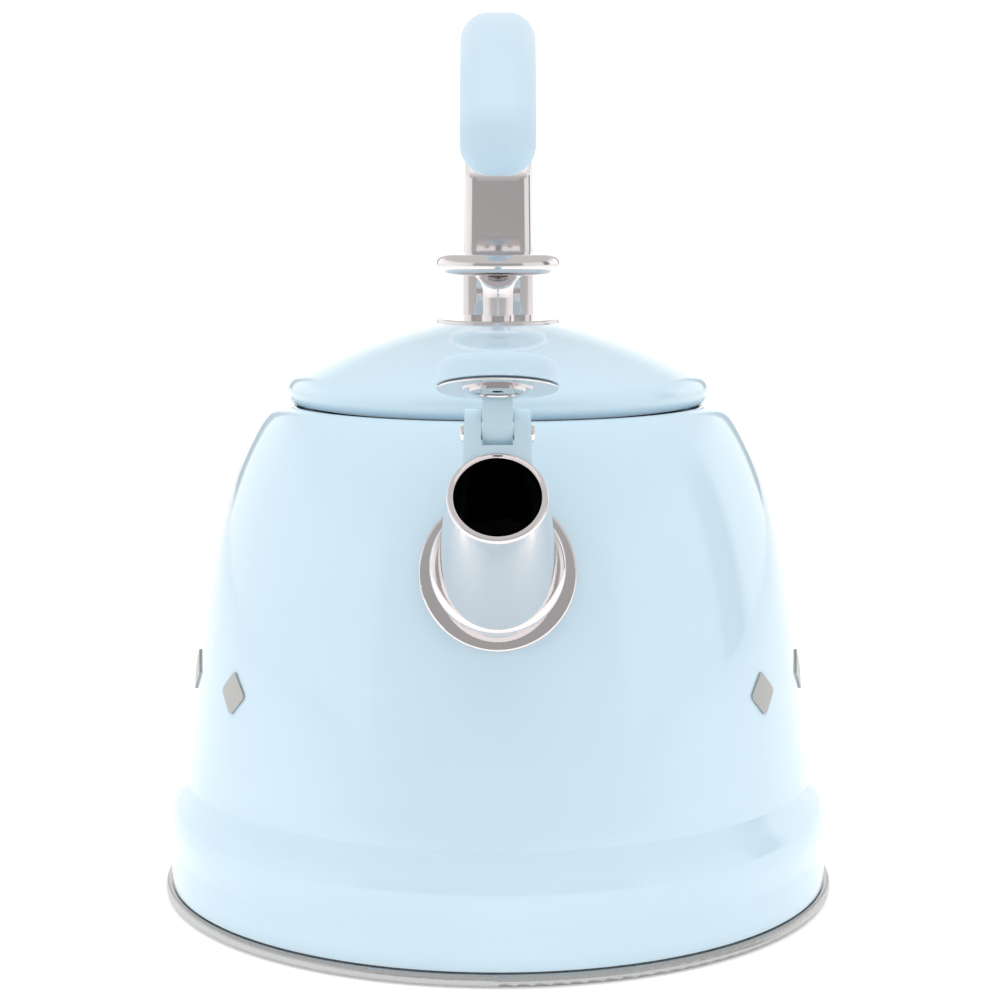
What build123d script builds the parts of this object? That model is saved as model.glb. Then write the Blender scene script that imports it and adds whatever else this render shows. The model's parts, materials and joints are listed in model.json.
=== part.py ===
"""Stovetop whistling kettle: enamelled steel body, lift-off lid, flip-up whistle and rear-mounted handle.

Millimetres. +Z is up, the origin is the centre of the base on the resting plane, and the spout points to -Y.
The whistle is drawn flipped open, which is the rest position.
"""
from build123d import *
import os
from math import cos, radians, sin

os.makedirs("parts", exist_ok=True)

# Driving dimensions of the body
BASE_R = 95.1          # polished base rim, outside
BASE_RIM_TOP = 3.5
BASE_RIM_GAP = 0.3     # the rim clears the hob by this much
SHEET = 1.2            # enamelled body sheet
FOOT_R = 93.4          # lower edge of the enamelled shell
BEAD_R = 94.1          # rounded bead above the foot
BEAD_Z = 21.8
STEP_R = 89.3          # the wall starts here, above the bead
STEP_Z = 33.6
CREST_R = 60.2         # top of the shoulder, under the lid's rim
CREST_Z = 138.7
SEAT_R = 57.4          # flat seat for the lid, from here in to the mouth ring
SEAT_Z = 137.9
MOUTH_R = 51.0         # inside of the mouth ring
MOUTH_RING_Z = 131.5   # its lower edge
MOUTH_FLANGE_R = 56.5
MOUTH_FLANGE_T = 1.0
RIM_W = 3.4            # width of the rolled base rim
RIM_LIP_R = 87.0       # inner edge of the rim's flat lip
FLOOR_T = 1.0
PLATE_R = 79.6         # magnetic plate that rests on the hob
PLATE_T = 0.8
SPREADER_R = 79.0

# Driving dimensions of the lid and its knob
LID_R = 59.1
LID_EDGE_R = 57.7
LID_EDGE_Z = 138.8
LID_CREASE_R = 56.6
LID_CREASE_Z = 146.8
LID_TOP_Z = 160.6
LID_FLAT_R = 18.4
LID_SHEET = 1.1
SKIRT_R = 50.4         # guides the lid in the mouth
SKIRT_Z = 129.5
KNOB_PLATE_R = 17.35
KNOB_DISC_R = 17.4
KNOB_DISC_Z = 176.9    # height of the disc's widest place
KNOB_STEM_R = 4.15
KNOB_FOOT_Z = 162.65
KNOB_TOP_Z = 179.8
FERRULE_R = 4.45
KNOB_HOLE_R = 2.2      # clearance for the knob's screw
KNOB_SCREW_R = 1.9

# Driving dimensions of the spout
SPOUT_RISE = 36.0      # degrees above the horizontal
SPOUT_ROOT = (0, -80.4, 103.0)
SPOUT_LENGTH = 40.2
SPOUT_ROOT_R = 15.45
SPOUT_MOUTH_R = 12.0
SPOUT_LIP_R = 10.4     # the lip is rolled in to this
SPOUT_LIP_P = -2.0
SPOUT_ROLL_P = -3.2
SPOUT_SHEET = 0.9
SPOUT_INSET = 16.0     # the tube is drawn this much longer, then trimmed to the wall
WALL_LEAN = 13.2       # degrees that the front wall leans back at the spout
FLANGE_R = 19.8
COLLAR_R = 17.1
COLLAR_H = 5.8
COLLAR_SHIFT = 1.2

# Driving dimensions of the whistle. p runs along the spout from its mouth, e away from its axis
PIVOT_P = -6.9
PIVOT_E = 20.84
OPEN_ANGLE = 68.8      # degrees from closed to open
PIN_R = 1.6
PIN_CLEARANCE = 0.05
EAR_R = 6.0
BRACKET_TOP_W = 15.7
BRACKET_FOOT_W = 16.4
SLOT_W = 7.9
SLOT_FLOOR_E = 14.3
LEVER_W = 7.3
LEVER_UNDER_E = 14.74
CARRIER_R = 12.0
DISC_R = 14.2
DISC_P = (0.3, 0.85)
DISC_STEP_R = 8.6      # raised ring round the boss
DISC_STEP_P = 0.0
CARRIER_P = (0.85, 1.3)
ARM_FRONT_P = 2.7
CAP_R = 14.46
CAP_TOP_P = 7.5
CAP_CROWN = 0.4
BOSS_R = 6.8
BOSS_P = -0.45
DISH_R = 5.9           # shallow dish in the boss
DISH_P = -0.15
NECK_R = 6.6
NECK_INNER_R = 6.0
NECK_FLOOR_P = 0.25
NECK_TOP_P = 3.8
REED_P = (1.2, 1.7)
STEAM_HOLE_R = 1.3
STEAM_PASSAGE_R = 2.2

# Driving dimensions of the handle, whose side view is an arch, a rear bend, an upright and a low bend
ARCH_CENTRE = (46.0, 107.5)     # y, z
ARCH_R = 130.0
REAR_CENTRE = (46.0, 199.5)
REAR_R = 38.0
LOW_CENTRE = (49.0, 155.3)
LOW_R = 35.0
LOW_END_ANGLE = 135.0           # angles are from the top of an arc, positive to the rear
NOSE_ANGLE = -36.5
TANG_FRONT_ANGLE = -27.0
GRIP_END_ANGLE = 42.0
GRIP_SCREW_PLACES = ((ARCH_CENTRE, ARCH_R, -20.0), (REAR_CENTRE, REAR_R, 18.0))
GRIP_T = 22.0
GRIP_FILLET = 8.2
GRIP_NOSE_W = 20.0
GRIP_REAR_W = 23.0
STEM_T = 9.0
STEM_FILLET = 4.2
STEM_TOP_W = 20.3
STEM_TOP_Z = 240.0
STEM_FOOT_W = 23.5
STEM_FOOT_Z = 110.0
STEM_RUN = 16.0                 # straight from the low bend to behind the foot's face
TANG_T = 5.0
TANG_W = 12.0
FOOT_POINT = (69.8, 127.7)
FOOT_LEAN = 26.6                # elevation of the wall's normal at the handle's foot
FOOT_W = 33.0
FOOT_H = 21.0
FOOT_STAND = 2.2                # the foot's face stands this far off the wall
GASKET_T = 0.7
SCREW_SPACING = 15.0
SCREW_R = 1.75

# Side studs
STUD_Z = 65.0
STUD_H = 12.0
STUD_W = 12.5
STUD_T = 0.5
STUD_PITCH = 23.0               # degrees round the body
STUDS_PER_SIDE = 4


def save(shape, node):
    """Write one node's STEP file."""
    export_step(shape, "parts/" + node + ".step")


def turn(sketch):
    """Turn a sketch of (radius, height) about the vertical axis."""
    return revolve(Plane.XZ * sketch, axis=Axis.Z)


def turned_outline(points):
    """A turned solid whose outline is straight between (radius, height) points."""
    return turn(make_face(Polyline(points, close=True)))


def disc(radius, low, high, hole=0.0):
    """A flat round plate, or a ring if it has a hole."""
    plate = Cylinder(radius, high - low, align=(Align.CENTER, Align.CENTER, Align.MIN))
    if hole:
        plate -= Cylinder(hole, high - low, align=(Align.CENTER, Align.CENTER, Align.MIN))
    return Pos(0, 0, low) * plate


# Frames
spout_axis = Vector(0, -cos(radians(SPOUT_RISE)), sin(radians(SPOUT_RISE)))
spout_up = Vector(0, sin(radians(SPOUT_RISE)), cos(radians(SPOUT_RISE)))
mouth_centre = Vector(*SPOUT_ROOT) + spout_axis * SPOUT_LENGTH
pivot = mouth_centre + spout_axis * PIVOT_P + spout_up * PIVOT_E
mouth_frame = Plane(mouth_centre, x_dir=(1, 0, 0), z_dir=spout_axis)
side_frame = Plane(mouth_centre, x_dir=spout_axis, z_dir=(-1, 0, 0))
flange_normal = Vector(0, -cos(radians(WALL_LEAN)), sin(radians(WALL_LEAN)))
flange_frame = Plane(SPOUT_ROOT, x_dir=(1, 0, 0), z_dir=flange_normal)


def open_whistle(shape):
    """Turn a whistle part from its closed place to its open one."""
    return shape.rotate(Axis(pivot, (1, 0, 0)), -OPEN_ANGLE)


# Body

def grown(points, grow):
    """Move (radius, height, lean) points out by grow, where lean is the elevation of the surface's normal."""
    return [(r + grow * cos(radians(lean)), z + grow * sin(radians(lean))) for r, z, lean in points]


def body_edges(grow=0.0):
    """The outside of the enamelled shell from its foot to the top of its shoulder, moved out by grow."""
    foot = grown([(FOOT_R, BASE_RIM_TOP + 0.4, 0), (FOOT_R, 6.5, 0)], grow)
    bead = grown([
        (FOOT_R, 6.5, 0),
        (92.65, 13.5, 0),
        (BEAD_R, BEAD_Z, 0),
        (92.5, 28.2, 28),
        (STEP_R, STEP_Z, 16),
    ], grow)
    wall = grown([
        (STEP_R, STEP_Z, 16),
        (87.7, 44.5, 7),
        (84.7, 68.0, 8),
        (81.6, 87.7, 10),
        (78.2, 103.5, 15),
        (73.0, 120.2, 25),
        (67.3, 132.3, 38),
        (CREST_R, CREST_Z, 90),
    ], grow)
    return [
        Line(*foot),
        Spline(bead, tangents=((0, 1), (-0.45, 1))),
        Spline(wall, tangents=((-0.12, 1), (-1, 0))),
    ]


def seat_edges(grow=0.0):
    """The shoulder's fall to the flat seat, which ends at the mouth ring."""
    seat_z = SEAT_Z + grow
    return [
        Spline((CREST_R, CREST_Z + grow), (SEAT_R, seat_z), tangents=((-1, 0), (-1, 0))),
        Line((SEAT_R, seat_z), (MOUTH_R + SHEET, seat_z)),
    ]


def body_block(grow=0.0):
    """The body as if it were solid, moved out by grow: used to fit other parts to its wall."""
    edges = body_edges(grow)
    low = edges[0] @ 0
    high = edges[-1] @ 1
    edges.append(Polyline((high.X, high.Y), (0, high.Y), (0, low.Y), (low.X, low.Y)))
    return turn(make_face(edges))


def body_sheet():
    """The enamelled sheet all round, before the holes are cut."""
    outside = body_edges() + seat_edges()
    inside = body_edges(-SHEET) + seat_edges(-SHEET)
    hem = Line(outside[0] @ 0, inside[0] @ 0)
    lip = Line(outside[-1] @ 1, inside[-1] @ 1)
    return turn(make_face(outside + [lip] + inside + [hem]))


def body_shell(sheet, spout_cone):
    """The enamelled body with the spout's hole and the handle's screw holes."""
    shell = sheet - spout_cone
    for hole in foot_screw_shafts(0.3):
        shell -= hole
    return shell


def mouth_ring():
    """Steel ring welded under the seat, whose collar lines the mouth."""
    ring_r = MOUTH_R + SHEET
    under = SEAT_Z - SHEET
    return turned_outline([
        (MOUTH_R, MOUTH_RING_Z),
        (ring_r, MOUTH_RING_Z),
        (ring_r, under - MOUTH_FLANGE_T),
        (MOUTH_FLANGE_R, under - MOUTH_FLANGE_T),
        (MOUTH_FLANGE_R, under),
        (ring_r, under),
        (ring_r, SEAT_Z),
        (MOUTH_R, SEAT_Z),
    ])


def base_rim():
    """Polished rolled rim round the foot, with a flat lip turned in under the floor."""
    rim_h = BASE_RIM_TOP - BASE_RIM_GAP
    roll_r = BASE_R - RIM_W / 2
    roll = Pos(roll_r, BASE_RIM_GAP + rim_h / 2) * RectangleRounded(RIM_W, rim_h, 1.45)
    lip = Pos((RIM_LIP_R + roll_r) / 2, BASE_RIM_TOP - FLOOR_T / 2) * Rectangle(roll_r - RIM_LIP_R, FLOOR_T)
    return turn(roll + lip)


def pan_floor():
    """Flat steel floor of the kettle, welded into the shell's foot."""
    return disc(FOOT_R - SHEET, BASE_RIM_TOP, BASE_RIM_TOP + FLOOR_T)


def heat_spreader():
    """Aluminium disc sealed between the floor and the induction plate."""
    return disc(SPREADER_R, PLATE_T, BASE_RIM_TOP)


def induction_plate():
    """Magnetic steel plate under the heat spreader: its flat underside rests on the hob."""
    plate = disc(PLATE_R, 0.0, PLATE_T)
    return fillet(plate.edges().filter_by(GeomType.CIRCLE).sort_by(Axis.Z)[0], 0.3)


def studs(sheet_band, side):
    """A row of plain lozenge studs on one side of the body, as a group of solids."""
    group = []
    for index in range(STUDS_PER_SIDE):
        azimuth = side * (90 + STUD_PITCH * (index - (STUDS_PER_SIDE - 1) / 2))
        corners = [(STUD_W / 2, 0), (0, STUD_H / 2), (-STUD_W / 2, 0), (0, -STUD_H / 2)]
        face = fillet(make_face(Polyline(corners, close=True)).vertices(), 1.2)
        prism = extrude(Plane((0, 0, STUD_Z), x_dir=(1, 0, 0), z_dir=(0, -1, 0)) * face, 120)
        group.append((Rot(0, 0, azimuth) * prism) & sheet_band)
    return Compound(children=group)


# Spout

def cone_radius(along):
    """Outside radius of the spout at a distance along its axis from the root."""
    return SPOUT_ROOT_R + (SPOUT_MOUTH_R - SPOUT_ROOT_R) * along / SPOUT_LENGTH


def spout_solid():
    """The outside of the spout as if it were solid, on the spout's axis."""
    outline = [
        (0, -SPOUT_LENGTH - SPOUT_INSET),
        (cone_radius(-SPOUT_INSET), -SPOUT_LENGTH - SPOUT_INSET),
        (SPOUT_MOUTH_R, 0),
        (0, 0),
    ]
    return mouth_frame.location * turned_outline(outline)


def spout_tube(sheet_inside):
    """Tapered polished tube with a rolled-in lip, its root trimmed to the inside of the wall."""
    root_p = -SPOUT_LENGTH - SPOUT_INSET
    root_r = cone_radius(-SPOUT_INSET)
    outline = make_face(Polyline(
        (root_r - SPOUT_SHEET, root_p),
        (root_r, root_p),
        (SPOUT_MOUTH_R, 0),
        (SPOUT_LIP_R, 0),
        (SPOUT_LIP_R, SPOUT_LIP_P),
        (cone_radius(SPOUT_LENGTH + SPOUT_ROLL_P) - SPOUT_SHEET, SPOUT_ROLL_P),
        close=True,
    ))
    outline = fillet(outline.vertices().sort_by(Axis.Y)[-2:].sort_by(Axis.X)[0], 0.3)
    outline = fillet(outline.vertices().sort_by(Axis.Y)[-2:].sort_by(Axis.X)[-1], 1.0)
    return mouth_frame.location * turn(outline) - sheet_inside


def spout_flange(block, spout_cone):
    """Round escutcheon with a raised collar, fitted to the wall round the spout."""
    plate = disc(FLANGE_R, -9.0, 0.0)
    plate = fillet(plate.edges().filter_by(GeomType.CIRCLE).sort_by(Axis.Z)[-1], 0.6)
    collar = Pos(0, COLLAR_SHIFT, 0) * disc(COLLAR_R, -2.0, COLLAR_H)
    collar = fillet(collar.edges().filter_by(GeomType.CIRCLE).sort_by(Axis.Z)[-1], 2.6)
    return flange_frame.location * (plate + collar) - block - spout_cone


# Whistle bracket and pin

def whistle_bracket(spout_cone):
    """U-shaped hinge bracket saddled on the spout behind its mouth."""
    front = make_face(Polyline(
        (-BRACKET_TOP_W / 2, PIVOT_E + EAR_R),
        (BRACKET_TOP_W / 2, PIVOT_E + EAR_R),
        (BRACKET_FOOT_W / 2, 7.6),
        (-BRACKET_FOOT_W / 2, 7.6),
        close=True,
    ))
    front = fillet(front.vertices().sort_by(Axis.Y)[-2:], 2.2)
    slot_top = PIVOT_E + EAR_R + 2.0
    slot = Pos(0, (SLOT_FLOOR_E + slot_top) / 2) * Rectangle(SLOT_W, slot_top - SLOT_FLOOR_E)
    front -= slot
    depth = extrude(Plane.XY.offset(PIVOT_P - EAR_R) * front, 2 * EAR_R)
    side = Pos(PIVOT_P, PIVOT_E) * Circle(EAR_R)
    side += Pos(PIVOT_P, (PIVOT_E + 7.0) / 2) * Rectangle(2 * EAR_R, PIVOT_E - 7.0)
    side -= Pos(PIVOT_P, PIVOT_E) * Circle(PIN_R)
    across = extrude(side_frame * side, BRACKET_FOOT_W, both=True)
    return (mouth_frame.location * depth) & across - spout_cone


def pivot_pin():
    """Riveted hinge pin with a low domed head at each end."""
    reach = BRACKET_TOP_W / 2 + 0.17
    shaft = Cylinder(PIN_R, 2 * reach)
    head_h = 1.1
    head = fillet(disc(2.15, 0, head_h).edges().sort_by(Axis.Z)[-1], 1.0)
    pin = shaft + Pos(0, 0, reach) * head + Pos(0, 0, -reach) * Rot(180, 0, 0) * head
    return Plane(pivot, x_dir=(0, 1, 0), z_dir=(1, 0, 0)).location * pin


# Whistle, drawn closed on the spout's mouth

def whistle_lever():
    """Hinged arm with a flat ring that is clamped between the cap and the disc."""
    arm = make_face(Polyline(
        (PIVOT_P, LEVER_UNDER_E),
        (CARRIER_P[0], LEVER_UNDER_E),
        (CARRIER_P[0], NECK_R + 1),
        (CARRIER_P[1], NECK_R + 1),
        (CARRIER_P[1], LEVER_UNDER_E + 0.2),
        (ARM_FRONT_P, LEVER_UNDER_E + 0.2),
        (ARM_FRONT_P, LEVER_UNDER_E + 3.6),
        (PIVOT_P + 3.4, PIVOT_E + 5.06),
        (PIVOT_P, PIVOT_E),
        close=True,
    ))
    arm += Pos(PIVOT_P, PIVOT_E) * Circle(PIVOT_E - LEVER_UNDER_E)
    arm -= Pos(PIVOT_P, PIVOT_E) * Circle(PIN_R + PIN_CLEARANCE)
    lever = extrude(side_frame * arm, LEVER_W / 2, both=True)
    ring = disc(CARRIER_R, CARRIER_P[0], CARRIER_P[1], NECK_R + 0.05)
    lever += mouth_frame.location * ring
    return lever - mouth_frame.location * disc(NECK_R + 0.05, CARRIER_P[0], CARRIER_P[1])


def whistle_disc():
    """Polished disc that shuts the spout, with a dished boss, a steam hole and a neck inside the cap."""
    outline = make_face(Polyline(
        (STEAM_HOLE_R, DISH_P),
        (DISH_R - 0.3, DISH_P),
        (DISH_R, BOSS_P),
        (BOSS_R, BOSS_P),
        (BOSS_R, DISC_STEP_P),
        (DISC_STEP_R, DISC_STEP_P),
        (DISC_STEP_R, DISC_P[0]),
        (DISC_R, DISC_P[0]),
        (DISC_R, DISC_P[1]),
        (NECK_R, DISC_P[1]),
        (NECK_R, NECK_TOP_P),
        (NECK_INNER_R, NECK_TOP_P),
        (NECK_INNER_R, NECK_FLOOR_P),
        (STEAM_HOLE_R, NECK_FLOOR_P),
        close=True,
    ))
    outline = fillet(outline.vertices().sort_by(Axis.X)[-2:], 0.25)
    return mouth_frame.location * turn(outline)


def whistle_reed():
    """Second holed plate, which makes the sounding chamber behind the disc's boss."""
    return mouth_frame.location * disc(NECK_INNER_R, REED_P[0], REED_P[1], STEAM_HOLE_R)


def whistle_cap():
    """Soft-touch puck over the whistle, slightly crowned, with its steam passage."""
    low = CARRIER_P[1]
    edge_p = CAP_TOP_P - CAP_CROWN
    outline = make_face([
        Polyline((0, CAP_TOP_P), (0, low), (CAP_R, low), (CAP_R, edge_p)),
        ThreePointArc((CAP_R, edge_p), (CAP_R / 2, CAP_TOP_P - CAP_CROWN / 4), (0, CAP_TOP_P)),
    ])
    outline = fillet(outline.vertices().sort_by(Axis.X)[-2:].sort_by(Axis.Y)[-1], 3.1)
    outline = fillet(outline.vertices().sort_by(Axis.Y)[:2].sort_by(Axis.X)[-1], 0.5)
    puck = turn(outline)
    puck -= disc(NECK_R, low, NECK_TOP_P + 0.6)
    puck -= disc(STEAM_PASSAGE_R, NECK_TOP_P, CAP_TOP_P + 1)
    return mouth_frame.location * puck


# Lid

def lid_outline(drop):
    """Closed outline of the lid's dome and rim, from its axis, moved inwards by drop."""
    flat = Line((0, LID_TOP_Z - drop), (LID_FLAT_R, LID_TOP_Z - drop))
    crease = (LID_CREASE_R - 0.75 * drop, LID_CREASE_Z - 0.85 * drop)
    dome = ThreePointArc((LID_FLAT_R, LID_TOP_Z - drop), (40.2, 154.3 - 1.05 * drop), crease)
    rim = ThreePointArc(crease, (LID_R - drop, 142.9), (LID_EDGE_R - drop, LID_EDGE_Z))
    close = Polyline((LID_EDGE_R - drop, LID_EDGE_Z), (0, LID_EDGE_Z), (0, LID_TOP_Z - drop))
    return turn(make_face([flat, dome, rim, close]))


def lid_shell(cavity):
    """Enamelled domed lid with a rolled rim."""
    return lid_outline(0.0) - cavity - disc(KNOB_HOLE_R, LID_CREASE_Z, LID_TOP_Z + 1)


def lid_skirt(cavity):
    """Stepped steel ring welded under the lid: it rests on the seat and guides the lid in the mouth."""
    step_r = 54.4
    rest_z = SEAT_Z + 0.3
    sheet = 0.9
    profile = [
        (SKIRT_R - sheet, SKIRT_Z),
        (SKIRT_R, SKIRT_Z),
        (SKIRT_R, rest_z),
        (step_r, rest_z),
        (step_r, 152),
        (step_r - sheet, 152),
        (step_r - sheet, rest_z + sheet),
        (SKIRT_R - sheet, rest_z + sheet),
    ]
    below = turned_outline([(SKIRT_R - sheet, SKIRT_Z), (SKIRT_R, SKIRT_Z), (SKIRT_R, LID_EDGE_Z),
                            (SKIRT_R - sheet, LID_EDGE_Z)])
    ring = turned_outline(profile)
    upper = ring & (cavity + disc(55, rest_z, LID_EDGE_Z + 1))
    return upper + (below & ring)


def knob_plate():
    """Thin polished plate between the lid and the knob."""
    plate = disc(KNOB_PLATE_R, LID_TOP_Z, LID_TOP_Z + 1.0, KNOB_HOLE_R)
    top_edges = plate.edges().filter_by(GeomType.CIRCLE).group_by(Axis.Z)[-1]
    return fillet(top_edges.sort_by(SortBy.RADIUS)[-1], 0.5)


def knob_ferrule():
    """Short collar at the knob's foot."""
    return disc(FERRULE_R, LID_TOP_Z + 1.0, KNOB_FOOT_Z, KNOB_HOLE_R)


def knob():
    """Turned knob: a stem that flares into a flat disc with a rounded edge."""
    flare_low = (KNOB_STEM_R, KNOB_FOOT_Z + 4.8)
    flare_top = (6.9, KNOB_DISC_Z - 3.5)
    under_end = (KNOB_DISC_R - 3.0, KNOB_DISC_Z - 2.9)
    crown_end = (KNOB_DISC_R - 3.0, KNOB_DISC_Z + 2.7)
    flat_end = (3.0, KNOB_TOP_Z)
    outline = make_face([
        Polyline(flat_end, (0, KNOB_TOP_Z), (0, KNOB_FOOT_Z), (KNOB_STEM_R, KNOB_FOOT_Z), flare_low),
        Spline(flare_low, flare_top, tangents=((0, 1), (1.2, 0.5))),
        Line(flare_top, under_end),
        ThreePointArc(under_end, (KNOB_DISC_R, KNOB_DISC_Z), crown_end),
        ThreePointArc(crown_end, (9.0, KNOB_TOP_Z - 0.07), flat_end),
    ])
    return turn(outline) - disc(KNOB_SCREW_R, KNOB_FOOT_Z, 172.0)


def knob_screw():
    """Screw from under the lid into the knob."""
    shaft = disc(KNOB_SCREW_R, 158.0, 171.5)
    head = fillet(disc(3.9, 155.9, 158.0).edges().sort_by(Axis.Z)[0], 0.8)
    slot = Pos(0, 0, 156.2) * Box(5.5, 0.9, 0.7)
    return shaft + head - slot


def knob_washer():
    """Washer under the lid."""
    return disc(6.0, 158.0, LID_TOP_Z - LID_SHEET, KNOB_HOLE_R)


# Handle

def arc_point(centre, radius, angle):
    """A point of the side view at an angle from the top of an arc, positive to the rear."""
    turned = radians(angle)
    return (centre[0] + radius * sin(turned), centre[1] + radius * cos(turned))


def band(centre, radius, first, last, thick):
    """Side view of a bar bent to an arc."""
    middle = (first + last) / 2
    outer = [arc_point(centre, radius + thick / 2, angle) for angle in (first, middle, last)]
    inner = [arc_point(centre, radius - thick / 2, angle) for angle in (last, middle, first)]
    return make_face([
        ThreePointArc(*outer),
        Line(outer[-1], inner[0]),
        ThreePointArc(*inner),
        Line(inner[-1], outer[0]),
    ])


foot_normal = Vector(0, cos(radians(FOOT_LEAN)), sin(radians(FOOT_LEAN)))
foot_frame = Plane((0, FOOT_POINT[0], FOOT_POINT[1]), x_dir=(1, 0, 0), z_dir=foot_normal)


def foot_screw_shafts(extra=0.0):
    """The two screw shafts, from inside the kettle into the stem."""
    shafts = []
    for side in (-1, 1):
        shaft = disc(SCREW_R + extra, -7.0, FOOT_STAND + 6.0)
        shafts.append(foot_frame.location * Pos(side * SCREW_SPACING / 2, 0, 0) * shaft)
    return shafts


def stem_side():
    """Side view of the stem: the rear bend, the upright, the low bend and the run into the foot."""
    side = band(REAR_CENTRE, REAR_R, GRIP_END_ANGLE, 90, STEM_T)
    upright_h = REAR_CENTRE[1] - LOW_CENTRE[1]
    side += Pos(REAR_CENTRE[0] + REAR_R, LOW_CENTRE[1] + upright_h / 2) * Rectangle(STEM_T, upright_h)
    side += band(LOW_CENTRE, LOW_R, 90, LOW_END_ANGLE, STEM_T)
    bend_end = arc_point(LOW_CENTRE, LOW_R, LOW_END_ANGLE)
    along = (cos(radians(LOW_END_ANGLE)), -sin(radians(LOW_END_ANGLE)))
    run_middle = (bend_end[0] + along[0] * STEM_RUN / 2, bend_end[1] + along[1] * STEM_RUN / 2)
    return side + Pos(*run_middle) * Rot(0, 0, 90 - LOW_END_ANGLE) * Rectangle(STEM_T, STEM_RUN)


def handle_stem(tang):
    """Polished flat bar from the foot up to the grip, with a narrower tang running on inside the grip."""
    bar = extrude(Plane.YZ * stem_side(), STEM_FOOT_W, both=True)
    taper = make_face(Polyline(
        (STEM_TOP_W / 2, STEM_TOP_Z),
        (STEM_FOOT_W / 2, STEM_FOOT_Z),
        (-STEM_FOOT_W / 2, STEM_FOOT_Z),
        (-STEM_TOP_W / 2, STEM_TOP_Z),
        close=True,
    ))
    bar &= extrude(Plane.XZ * taper, -150)
    sides = bar.faces().sort_by(Axis.X)
    long_edges = [edge for edge in sides[0].edges() + sides[-1].edges() if edge.length > STEM_T + 1]
    bar = fillet(long_edges, STEM_FILLET)
    bar -= foot_frame.location * Pos(0, 0, FOOT_STAND - 30) * Box(80, 80, 60)
    for shaft in foot_screw_shafts():
        bar -= shaft
    stem = bar + tang
    for screw in grip_screws():
        stem -= screw
    return stem


def grip_tang(overrun=0.0):
    """The part of the stem inside the grip, running on past the grip's end by overrun degrees."""
    side = band(ARCH_CENTRE, ARCH_R, TANG_FRONT_ANGLE, 0, TANG_T)
    side += band(REAR_CENTRE, REAR_R, 0, GRIP_END_ANGLE + overrun, TANG_T)
    return extrude(Plane.YZ * side, TANG_W / 2, both=True)


def grip_screw_frames():
    """Frames on the grip's underside, pointing into it, one for each screw."""
    frames = []
    for centre, radius, angle in GRIP_SCREW_PLACES:
        start = arc_point(centre, radius - GRIP_T / 2, angle)
        out = Vector(0, sin(radians(angle)), cos(radians(angle)))
        frames.append(Plane((0, start[0], start[1]), x_dir=(1, 0, 0), z_dir=out))
    return frames


def grip_screw_body(low):
    """A countersunk screw, or the hole for it, with its head's flat face at low."""
    tip = GRIP_T / 2 + TANG_T / 2 - 0.4
    return disc(1.5, 0.8, tip) + Pos(0, 0, 1.9) * Cone(3.0, 1.5, 1.6) + disc(3.0, low, 1.1)


def grip_screws():
    """Two countersunk screws from under the grip into the tang, as a group of solids."""
    slot = Pos(0, 0, 0.7) * Box(4.4, 0.8, 0.9)
    return [frame.location * (grip_screw_body(0.6) - slot) for frame in grip_screw_frames()]


def handle_grip(tang):
    """Soft-touch grip over the top of the handle, with a rounded nose."""
    side = band(ARCH_CENTRE, ARCH_R, NOSE_ANGLE, 0, GRIP_T)
    side += band(REAR_CENTRE, REAR_R, 0, GRIP_END_ANGLE, GRIP_T)
    side += Pos(*arc_point(ARCH_CENTRE, ARCH_R, NOSE_ANGLE)) * Circle(GRIP_T / 2)
    grip = extrude(Plane.YZ * side, 30, both=True)
    front_y = -45.0
    rear_y = 82.0
    plan = make_face(Polyline(
        (-GRIP_NOSE_W / 2, front_y),
        (GRIP_NOSE_W / 2, front_y),
        (GRIP_REAR_W / 2, rear_y),
        (-GRIP_REAR_W / 2, rear_y),
        close=True,
    ))
    grip &= extrude(Plane.XY * plan, 300)
    sides = grip.faces().sort_by(Axis.X)
    side_edges = sides[0].edges() + sides[-1].edges()
    grip = fillet([edge for edge in side_edges if abs(edge.length - GRIP_T) > 0.5], GRIP_FILLET)
    grip -= tang
    for frame in grip_screw_frames():
        grip -= frame.location * grip_screw_body(-3.0)
    return grip


def foot_prism(width, height, corner, low, high):
    """A rounded block standing on the wall at the handle's foot."""
    outline = Plane.XY.offset(low) * RectangleRounded(width, height, corner)
    return foot_frame.location * extrude(outline, high - low)


def handle_foot(grown_block):
    """Polished escutcheon that the stem stands on."""
    foot = foot_prism(FOOT_W, FOOT_H, 8.0, -9.0, FOOT_STAND)
    face = foot.faces().sort_by(Axis(foot_frame.origin, foot_normal))[-1]
    foot = fillet(face.edges(), 0.9) - grown_block
    for shaft in foot_screw_shafts():
        foot -= shaft
    return foot


def foot_gasket(block, grown_block):
    """Silicone gasket between the foot and the enamel."""
    gasket = (foot_prism(FOOT_W - 1.0, FOOT_H - 1.0, 7.5, -9.0, FOOT_STAND) & grown_block) - block
    for shaft in foot_screw_shafts():
        gasket -= shaft
    return gasket


def handle_anchor(inside):
    """Steel block inside the kettle that the foot's screws pull on."""
    anchor = foot_prism(28.0, 13.0, 3.0, -6.0, 2.0) & inside
    for shaft in foot_screw_shafts():
        anchor -= shaft
    return anchor


def handle_screws():
    """The foot's two screws, as a group of solids."""
    group = []
    head = fillet(disc(3.4, -8.6, -6.0).edges().sort_by(Axis.Z)[0], 0.8)
    head -= Pos(0, 0, -8.4) * Box(4.6, 0.9, 0.8)
    for side in (-1, 1):
        shaft = disc(SCREW_R, -7.0, FOOT_STAND + 5.5)
        group.append(foot_frame.location * Pos(side * SCREW_SPACING / 2, 0, 0) * (shaft + head))
    return group


block = body_block()
sheet = body_sheet()
inside = block - sheet
spout_cone = spout_solid()
grown_block = body_block(GASKET_T)
stud_band = body_block(STUD_T) - block
lid_cavity = lid_outline(LID_SHEET)

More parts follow.
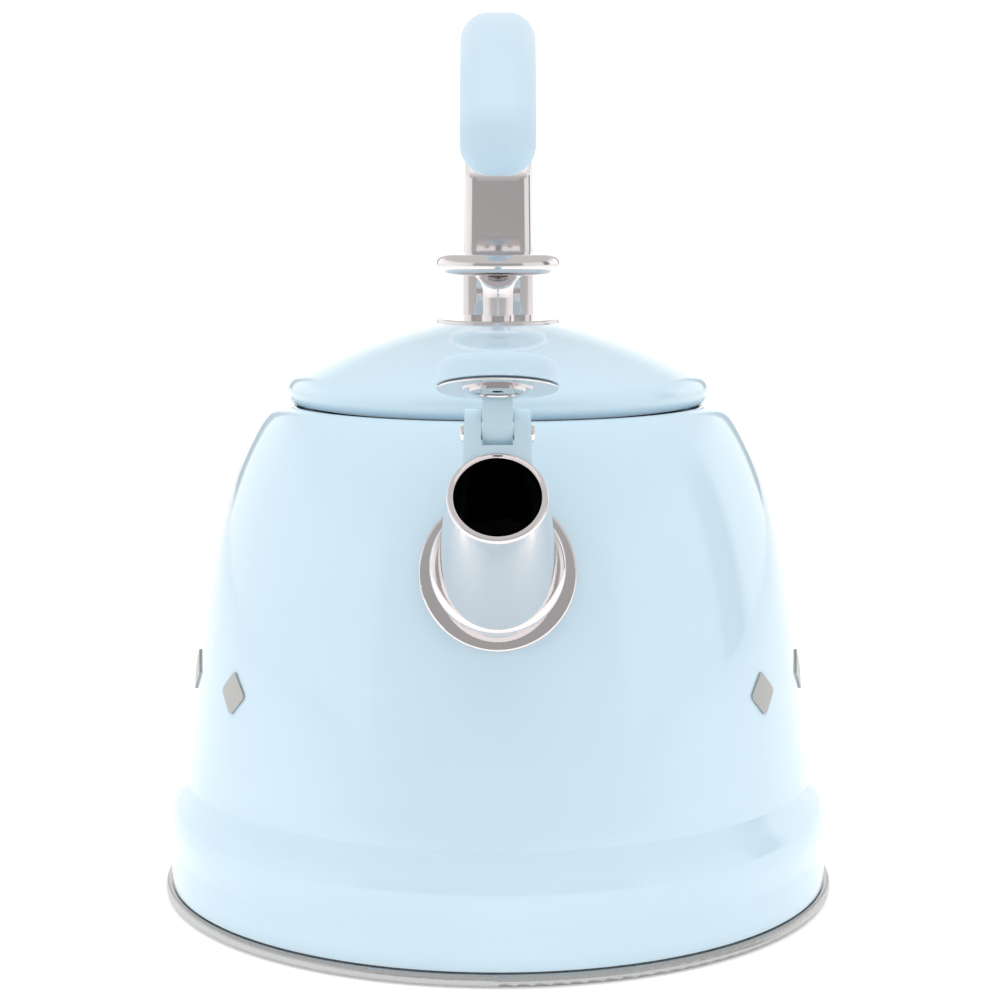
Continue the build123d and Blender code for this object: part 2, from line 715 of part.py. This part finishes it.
save(body_shell(sheet, spout_cone), "body_shell")
save(mouth_ring(), "mouth_ring")
save(base_rim(), "base_rim")
save(pan_floor(), "pan_floor")
save(heat_spreader(), "heat_spreader")
save(induction_plate(), "induction_plate")
save(studs(stud_band, 1), "side_studs_right")
save(studs(stud_band, -1), "side_studs_left")
save(spout_tube(inside), "spout_tube")
save(spout_flange(block, spout_cone), "spout_flange")
save(whistle_bracket(spout_cone), "whistle_bracket")
save(pivot_pin(), "whistle_pivot_pin")
save(open_whistle(whistle_lever()), "whistle_lever")
save(open_whistle(whistle_disc()), "whistle_disc")
save(open_whistle(whistle_reed()), "whistle_reed_plate")
save(open_whistle(whistle_cap()), "whistle_cap")
save(lid_shell(lid_cavity), "lid_shell")
save(lid_skirt(lid_cavity), "lid_skirt")
save(knob_plate(), "knob_plate")
save(knob_ferrule(), "knob_ferrule")
save(knob(), "lid_knob")
save(knob_screw(), "knob_screw")
save(knob_washer(), "knob_washer")
save(handle_stem(grip_tang(4.0)), "handle_stem")
save(handle_grip(grip_tang()), "handle_grip")
save(Compound(children=grip_screws()), "grip_screws")
save(handle_foot(grown_block), "handle_foot")
save(foot_gasket(block, grown_block), "foot_gasket")
save(handle_anchor(inside), "handle_anchor")
save(Compound(children=handle_screws()), "handle_screws")
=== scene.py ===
"""Looks of the stovetop whistling kettle: camera, studio light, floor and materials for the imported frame."""

import json
import math

import bpy
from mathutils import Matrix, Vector


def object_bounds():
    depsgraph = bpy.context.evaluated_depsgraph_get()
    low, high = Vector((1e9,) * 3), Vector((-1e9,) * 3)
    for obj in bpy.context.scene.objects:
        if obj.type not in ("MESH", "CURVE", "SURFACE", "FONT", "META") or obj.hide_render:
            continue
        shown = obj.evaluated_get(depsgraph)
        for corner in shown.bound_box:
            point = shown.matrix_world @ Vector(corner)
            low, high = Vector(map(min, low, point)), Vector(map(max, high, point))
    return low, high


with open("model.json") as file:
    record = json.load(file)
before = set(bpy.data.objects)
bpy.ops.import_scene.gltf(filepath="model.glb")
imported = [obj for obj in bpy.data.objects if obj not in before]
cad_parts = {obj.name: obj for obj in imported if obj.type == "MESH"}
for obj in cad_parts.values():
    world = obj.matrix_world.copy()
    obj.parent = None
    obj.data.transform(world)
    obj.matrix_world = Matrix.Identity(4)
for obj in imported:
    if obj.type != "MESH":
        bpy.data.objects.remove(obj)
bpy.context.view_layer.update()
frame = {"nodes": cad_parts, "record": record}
scene = bpy.context.scene


# ---------------------------------------------------------------- camera

CAMERA_DISTANCE = 0.65236     # metres in front of the kettle's axis
CAMERA_HEIGHT = 0.20081
CAMERA_SIDE = 0.00056
CAMERA_PITCH = 7.918          # degrees below the horizontal
CAMERA_LENS = 83.70           # millimetres, on a sensor this wide:
SENSOR_WIDTH = 36.0


def add_camera():
    """A camera in front of the kettle, a little above its lid, looking slightly down."""
    data = bpy.data.cameras.new("camera")
    data.lens = CAMERA_LENS
    data.sensor_width = SENSOR_WIDTH
    camera = bpy.data.objects.new("camera", data)
    camera.location = (CAMERA_SIDE, -CAMERA_DISTANCE, CAMERA_HEIGHT)
    camera.rotation_euler = (math.radians(90 - CAMERA_PITCH), 0, 0)
    scene.collection.objects.link(camera)
    scene.camera = camera


# ---------------------------------------------------------------- light and floor

# The studio all round, as pairs of azimuth in degrees from the camera's side and brightness: grey in front of the
# kettle, a soft box on each side with a dark gap behind it, and a white background
STUDIO = (
    (-180, 1.75), (-158, 1.75), (-156, 0.45), (-150, 0.45), (-148, 1.60), (-50, 1.25), (-44, 0.56),
    (44, 0.56), (50, 1.25), (92, 1.25), (96, 0.40), (108, 0.40), (114, 1.60),
    (148, 1.60), (150, 0.45), (156, 0.45), (158, 1.75), (180, 1.75),
)
BRIGHTEST = 2.0               # the ramp holds 0 to 1, so brightness is divided by this and multiplied back
TOP_LIGHT = 0.88              # brightness of the soft light overhead
TOP_STARTS = (0.28, 0.50)     # sine of the elevation where the light overhead takes over


def add_world():
    """The studio as a world light."""
    world = bpy.data.worlds.new("studio")
    scene.world = world
    world.use_nodes = True
    tree = world.node_tree
    tree.nodes.clear()
    split = tree.nodes.new("ShaderNodeSeparateXYZ")
    tree.links.new(tree.nodes.new("ShaderNodeTexCoord").outputs["Generated"], split.inputs[0])
    toward = tree.nodes.new("ShaderNodeMath")
    toward.operation = "MULTIPLY"
    toward.inputs[1].default_value = -1.0
    tree.links.new(split.outputs["Y"], toward.inputs[0])
    azimuth = tree.nodes.new("ShaderNodeMath")
    azimuth.operation = "ARCTAN2"
    tree.links.new(split.outputs["X"], azimuth.inputs[0])
    tree.links.new(toward.outputs[0], azimuth.inputs[1])
    place = ramp(tree, azimuth.outputs[0], 0.0, 1.0, -math.pi, math.pi)
    band = tree.nodes.new("ShaderNodeValToRGB")
    stops = band.color_ramp.elements
    while len(stops) < len(STUDIO):
        stops.new(0.5)
    for stop, (degrees, level) in zip(stops, STUDIO):
        stop.position = (degrees + 180) / 360
        stop.color = (level / BRIGHTEST,) * 3 + (1.0,)
    tree.links.new(place, band.inputs[0])
    level = tree.nodes.new("ShaderNodeMath")
    level.operation = "MULTIPLY"
    level.inputs[1].default_value = BRIGHTEST
    tree.links.new(band.outputs["Color"], level.inputs[0])
    above = ramp(tree, split.outputs["Z"], 0.0, 1.0, *TOP_STARTS)
    mix = tree.nodes.new("ShaderNodeMix")
    mix.inputs["B"].default_value = TOP_LIGHT
    tree.links.new(above, mix.inputs["Factor"])
    tree.links.new(level.outputs[0], mix.inputs["A"])
    back = tree.nodes.new("ShaderNodeBackground")
    tree.links.new(mix.outputs["Result"], back.inputs["Strength"])
    out = tree.nodes.new("ShaderNodeOutputWorld")
    tree.links.new(back.outputs[0], out.inputs["Surface"])


# Soft fill lights: place in metres, size in metres and power in watts. They light the matt and painted surfaces,
# and the polished ones show only the studio
FILL_LIGHTS = {
    "fill_top": ((0.0, -0.3, 2.2), 2.0, 24.0),
    "fill_left": ((-1.5, -1.5, 0.9), 1.2, 4.2),
    "fill_right": ((1.5, -1.5, 0.9), 1.2, 4.2),
}


def add_fill_lights():
    """Square area lights that face the middle of the kettle and don't show in reflections."""
    low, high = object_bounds()
    middle = (Vector(low) + Vector(high)) / 2
    for name, (place, size, power) in FILL_LIGHTS.items():
        data = bpy.data.lights.new(name, "AREA")
        data.size = size
        data.energy = power
        light = bpy.data.objects.new(name, data)
        light.location = place
        light.rotation_euler = (middle - light.location).to_track_quat("-Z", "Y").to_euler()
        light.visible_glossy = False
        scene.collection.objects.link(light)


FLOOR_HALF = 6.0              # metres from the middle to each side
FLOOR_FADE = (-1.8, -0.25)    # along Y, from the painted grey shade at the front of the floor to its white part
# the grey of the painted shade at the front of the floor, then the white of the rest
FLOOR_PAINTED_SHADE_AND_WHITE = (0.74, 0.93)
FLOOR_ROUGHNESS = 0.6
FLOOR_GLOW = (0.0, 0.28)      # keeps the white part as bright as the background


def add_floor():
    """Pale floor, which isn't part of the object. It turns grey well in front of the kettle: painted shade that
    darkens what the kettle's front reflects and the light bounced onto it.
    """
    mesh = bpy.data.meshes.new("floor")
    half = FLOOR_HALF
    corners = [(-half, -half, 0), (half, -half, 0), (half, half, 0), (-half, half, 0)]
    mesh.from_pydata(corners, [], [(0, 1, 2, 3)])
    floor = bpy.data.objects.new("floor", mesh)
    scene.collection.objects.link(floor)
    mat, tree, shader = new_material("floor", specular=0.2)
    split = tree.nodes.new("ShaderNodeSeparateXYZ")
    tree.links.new(object_coords(tree), split.inputs[0])
    # painted shade: the floor's colour darkens to grey towards the front of the kettle
    painted_shade = ramp(tree, split.outputs["Y"], *FLOOR_PAINTED_SHADE_AND_WHITE, *FLOOR_FADE)
    glow = ramp(tree, split.outputs["Y"], *FLOOR_GLOW, *FLOOR_FADE)
    tree.links.new(painted_shade, shader.inputs["Base Color"])
    tree.links.new(glow, shader.inputs["Emission Strength"])
    shader.inputs["Emission Color"].default_value = (1.0, 1.0, 1.0, 1)
    shader.inputs["Roughness"].default_value = FLOOR_ROUGHNESS
    mesh.materials.append(mat)


# ---------------------------------------------------------------- materials

def new_material(name, metallic=0.0, ior=1.5, coat=0.0, coat_roughness=0.03, sheen=0.0, specular=0.5):
    """A material with its fixed numbers on the shader's own sockets."""
    mat = bpy.data.materials.new(name)
    mat.use_nodes = True
    shader = mat.node_tree.nodes["Principled BSDF"]
    shader.inputs["Metallic"].default_value = metallic
    shader.inputs["IOR"].default_value = ior
    shader.inputs["Coat Weight"].default_value = coat
    shader.inputs["Coat Roughness"].default_value = coat_roughness
    shader.inputs["Sheen Weight"].default_value = sheen
    shader.inputs["Specular IOR Level"].default_value = specular
    return mat, mat.node_tree, shader


def noise(tree, vector, scale, detail=3.0, roughness=0.55):
    """A noise texture read at a vector."""
    node = tree.nodes.new("ShaderNodeTexNoise")
    node.inputs["Scale"].default_value = scale
    node.inputs["Detail"].default_value = detail
    node.inputs["Roughness"].default_value = roughness
    tree.links.new(vector, node.inputs["Vector"])
    return node.outputs["Fac"]


def ramp(tree, value, low, high, start=0.35, end=0.65):
    """A number that goes from low to high as value goes from start to end."""
    node = tree.nodes.new("ShaderNodeMapRange")
    node.inputs["From Min"].default_value = start
    node.inputs["From Max"].default_value = end
    node.inputs["To Min"].default_value = low
    node.inputs["To Max"].default_value = high
    tree.links.new(value, node.inputs["Value"])
    return node.outputs["Result"]


def two_tone(tree, value, first, second):
    """A colour that goes from first to second with value."""
    node = tree.nodes.new("ShaderNodeMix")
    node.data_type = "RGBA"
    node.inputs["A"].default_value = (*first, 1)
    node.inputs["B"].default_value = (*second, 1)
    tree.links.new(value, node.inputs["Factor"])
    return node.outputs["Result"]


def bump(tree, shader, height, strength, distance):
    """Bump on the shader's normal from a height."""
    node = tree.nodes.new("ShaderNodeBump")
    node.inputs["Strength"].default_value = strength
    node.inputs["Distance"].default_value = distance
    tree.links.new(height, node.inputs["Height"])
    tree.links.new(node.outputs["Normal"], shader.inputs["Normal"])


def object_coords(tree):
    """The piece's own coordinates, in metres."""
    return tree.nodes.new("ShaderNodeTexCoord").outputs["Object"]


def ring_coords(tree, stretch=0.02):
    """Coordinates for turned or circular-brushed metal: radius, height and a little of the angle."""
    split = tree.nodes.new("ShaderNodeSeparateXYZ")
    tree.links.new(object_coords(tree), split.inputs[0])
    flat = tree.nodes.new("ShaderNodeCombineXYZ")
    tree.links.new(split.outputs["X"], flat.inputs["X"])
    tree.links.new(split.outputs["Y"], flat.inputs["Y"])
    length = tree.nodes.new("ShaderNodeVectorMath")
    length.operation = "LENGTH"
    tree.links.new(flat.outputs[0], length.inputs[0])
    angle = tree.nodes.new("ShaderNodeMath")
    angle.operation = "ARCTAN2"
    tree.links.new(split.outputs["Y"], angle.inputs[0])
    tree.links.new(split.outputs["X"], angle.inputs[1])
    small = tree.nodes.new("ShaderNodeMath")
    small.operation = "MULTIPLY"
    small.inputs[1].default_value = stretch
    tree.links.new(angle.outputs[0], small.inputs[0])
    join = tree.nodes.new("ShaderNodeCombineXYZ")
    tree.links.new(length.outputs["Value"], join.inputs["X"])
    tree.links.new(split.outputs["Z"], join.inputs["Y"])
    tree.links.new(small.outputs[0], join.inputs["Z"])
    return join.outputs[0]


def enamel():
    """Glossy pale blue enamel, very slightly uneven as fired enamel is."""
    mat, tree, shader = new_material("enamel", coat=0.6, coat_roughness=0.02)
    coords = object_coords(tree)
    broad = noise(tree, coords, 18.0)
    tint = two_tone(tree, ramp(tree, broad, 0, 1), (0.550, 0.708, 0.808), (0.565, 0.722, 0.820))
    tree.links.new(tint, shader.inputs["Base Color"])
    fine = noise(tree, coords, 260.0, detail=2.0)
    tree.links.new(ramp(tree, fine, 0.045, 0.085), shader.inputs["Roughness"])
    bump(tree, shader, noise(tree, coords, 120.0, detail=1.0), 0.02, 0.0006)
    return mat


def polished_steel():
    """Mirror-polished steel with the faint haze and hairlines of use."""
    mat, tree, shader = new_material("polished_steel", metallic=1.0)
    coords = object_coords(tree)
    haze = noise(tree, coords, 45.0, detail=4.0)
    tree.links.new(two_tone(tree, haze, (0.74, 0.70, 0.70), (0.79, 0.75, 0.75)), shader.inputs["Base Color"])
    tree.links.new(ramp(tree, haze, 0.025, 0.06), shader.inputs["Roughness"])
    stretch = tree.nodes.new("ShaderNodeMapping")
    stretch.inputs["Scale"].default_value = (1.0, 12.0, 1.0)
    tree.links.new(coords, stretch.inputs["Vector"])
    bump(tree, shader, noise(tree, stretch.outputs[0], 900.0, detail=2.0), 0.015, 0.0002)
    return mat


def brushed_steel(name, colour, roughness, strength):
    """Steel with fine marks that run round the base's axis."""
    mat, tree, shader = new_material(name, metallic=1.0)
    rings = ring_coords(tree)
    lines = noise(tree, rings, 5200.0, detail=3.0, roughness=0.7)
    light = tuple(min(1.0, c * 1.12) for c in colour)
    tree.links.new(two_tone(tree, ramp(tree, lines, 0, 1), colour, light), shader.inputs["Base Color"])
    tree.links.new(ramp(tree, lines, roughness, roughness + 0.12), shader.inputs["Roughness"])
    bump(tree, shader, lines, strength, 0.0002)
    return mat


def satin_paint():
    """Satin blue paint with a fine orange peel."""
    mat, tree, shader = new_material("satin_paint", specular=0.45)
    coords = object_coords(tree)
    broad = noise(tree, coords, 60.0)
    tree.links.new(two_tone(tree, broad, (0.560, 0.735, 0.825), (0.590, 0.760, 0.845)), shader.inputs["Base Color"])
    fine = noise(tree, coords, 1800.0, detail=2.0)
    tree.links.new(ramp(tree, fine, 0.27, 0.36), shader.inputs["Roughness"])
    bump(tree, shader, fine, 0.05, 0.0002)
    return mat


def soft_touch():
    """Pale blue soft-touch coating: a velvety grain with a low sheen."""
    mat, tree, shader = new_material("soft_touch", sheen=0.12, specular=0.4)
    coords = object_coords(tree)
    broad = noise(tree, coords, 40.0)
    tree.links.new(two_tone(tree, broad, (0.50, 0.650, 0.755), (0.53, 0.675, 0.775)), shader.inputs["Base Color"])
    grain = noise(tree, coords, 5200.0, detail=2.0)
    tree.links.new(ramp(tree, grain, 0.38, 0.50), shader.inputs["Roughness"])
    bump(tree, shader, grain, 0.10, 0.0001)
    return mat


def raw_aluminium():
    """Dull cast aluminium."""
    mat, tree, shader = new_material("spreader_aluminium", metallic=1.0)
    coords = object_coords(tree)
    grain = noise(tree, coords, 900.0, detail=5.0)
    tree.links.new(two_tone(tree, grain, (0.66, 0.66, 0.67), (0.80, 0.80, 0.81)), shader.inputs["Base Color"])
    tree.links.new(ramp(tree, grain, 0.38, 0.55), shader.inputs["Roughness"])
    bump(tree, shader, grain, 0.15, 0.0002)
    return mat


def silicone():
    """Matte grey silicone."""
    mat, tree, shader = new_material("silicone", specular=0.35)
    coords = object_coords(tree)
    grain = noise(tree, coords, 2600.0)
    tree.links.new(two_tone(tree, grain, (0.055, 0.058, 0.062), (0.085, 0.088, 0.092)), shader.inputs["Base Color"])
    tree.links.new(ramp(tree, grain, 0.55, 0.7), shader.inputs["Roughness"])
    bump(tree, shader, grain, 0.1, 0.0002)
    return mat


MATERIALS = {
    "enamel": enamel(),
    "polished_steel": polished_steel(),
    "base_steel": brushed_steel("base_steel", (0.50, 0.50, 0.495), 0.26, 0.10),
    "inner_steel": brushed_steel("inner_steel", (0.46, 0.46, 0.46), 0.30, 0.06),
    "stud_metal": brushed_steel("stud_metal", (0.42, 0.42, 0.41), 0.30, 0.06),
    "satin_paint": satin_paint(),
    "soft_touch": soft_touch(),
    "spreader_aluminium": raw_aluminium(),
    "silicone": silicone(),
}


def paint_nodes():
    """Give every CAD node the material of its slot."""
    for part in frame["record"]["subparts"]:
        slots = frame["nodes"][part["node"]].material_slots
        for item in slots:
            item.material = MATERIALS[part["material_slot"]]


# ---------------------------------------------------------------- assembly

add_camera()
add_world()
add_fill_lights()
add_floor()
paint_nodes()
scene.view_settings.view_transform = "Standard"
